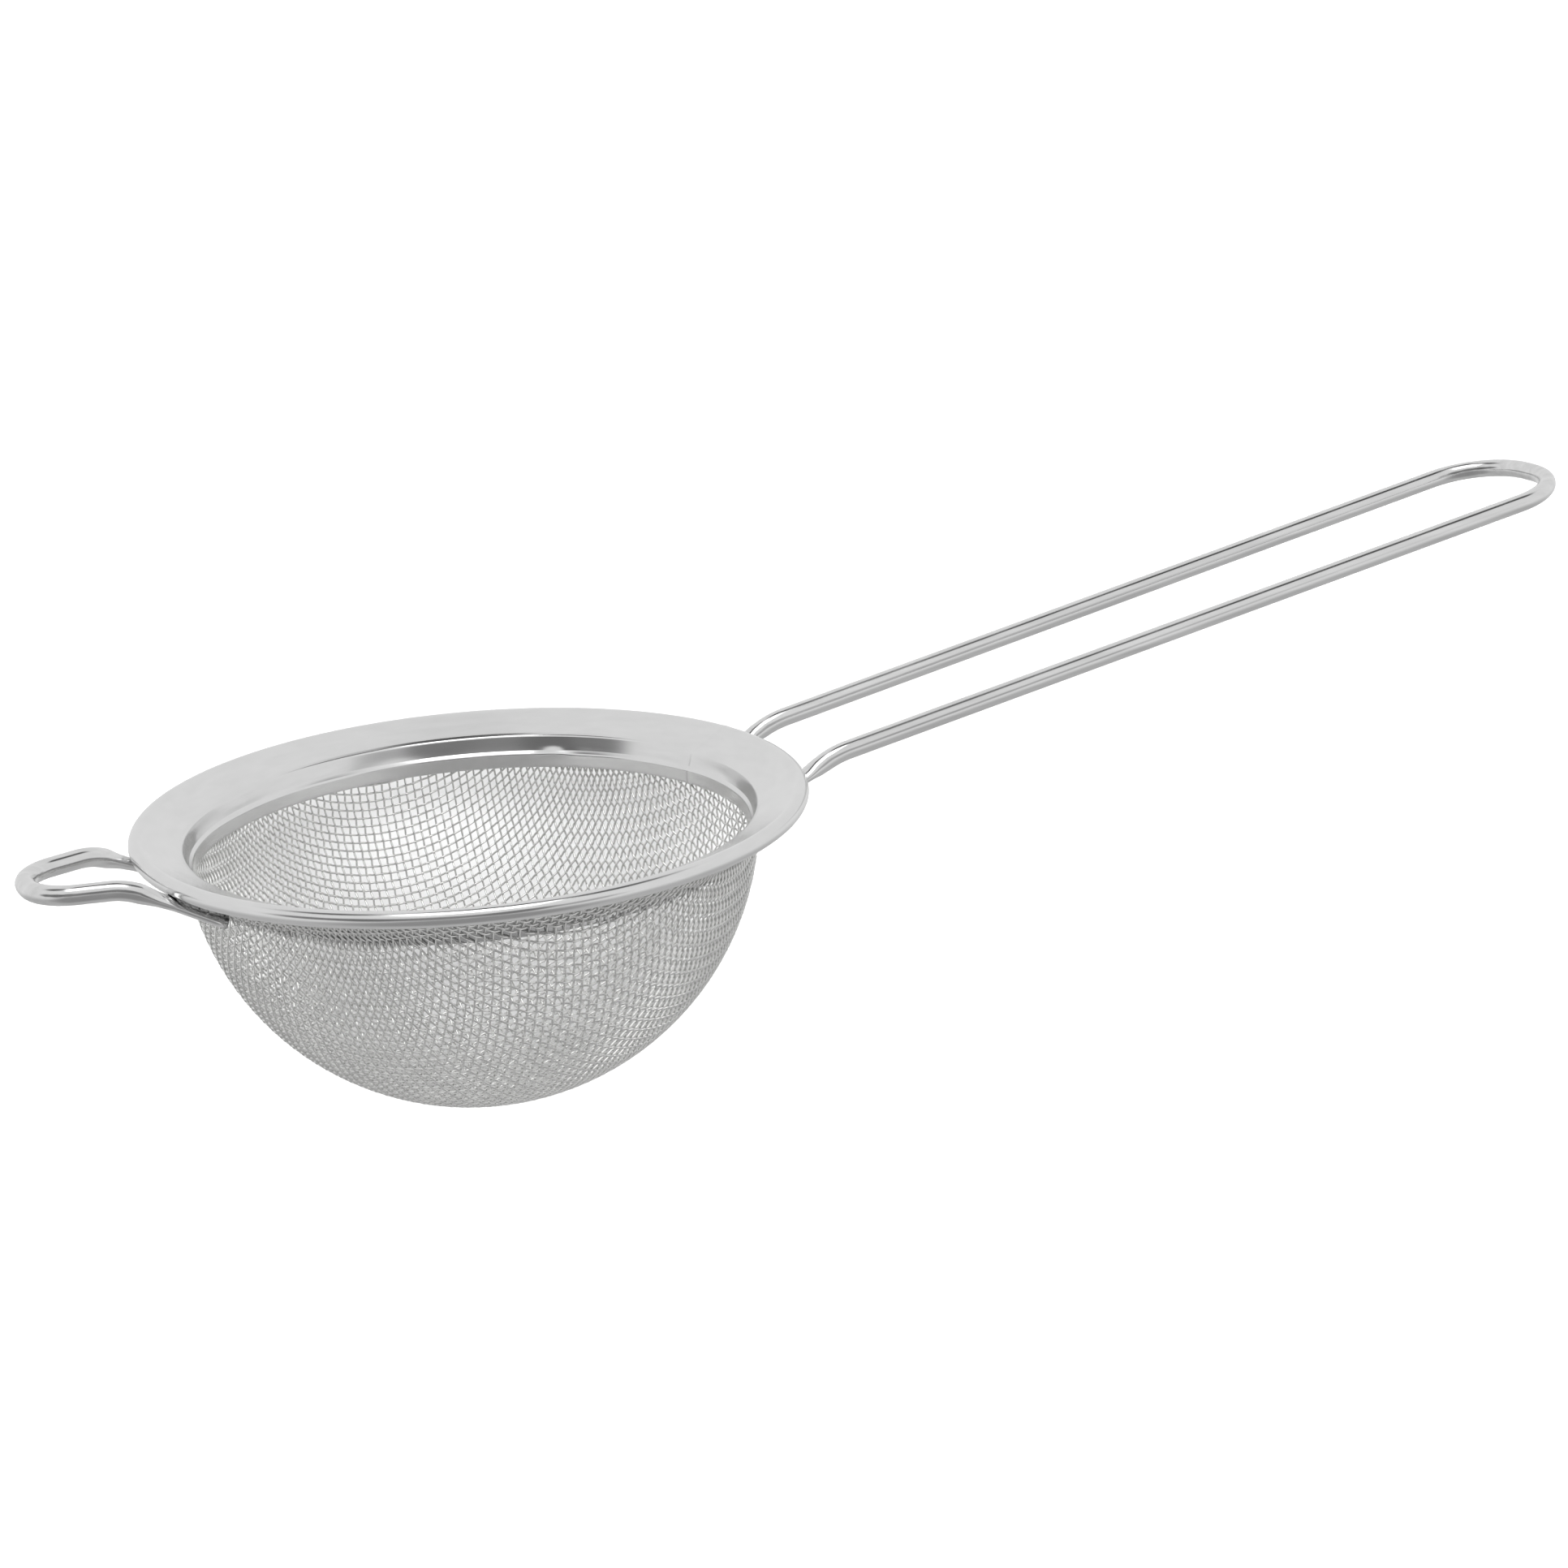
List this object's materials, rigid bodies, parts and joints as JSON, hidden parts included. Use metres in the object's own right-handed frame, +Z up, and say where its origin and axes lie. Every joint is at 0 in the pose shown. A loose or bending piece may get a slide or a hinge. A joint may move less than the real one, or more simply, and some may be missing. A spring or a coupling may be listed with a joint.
{
  "type": "tea strainer",
  "caption": "Round wire mesh strainer bowl in a rolled steel rim, with a long bent-wire handle and a short wire rest loop opposite.",
  "frame": {"origin": "centre of the mouth, on the plane through the middle of the rolled edge", "axes": "+Z up out of the mouth, +X along the handle away from the bowl, +Y across the handle"},
  "size_m": [0.209, 0.08, 0.0546],
  "materials": {
    "rim_steel": "satin",
    "mesh_steel": "bright drawn wire",
    "wire_steel": "polished"
  },
  "bodies": {
    "root": {"rim": "rim_steel", "mesh_bowl": "mesh_steel", "handle": "wire_steel", "rest_loop": "wire_steel"}
  },
  "joints": []
}
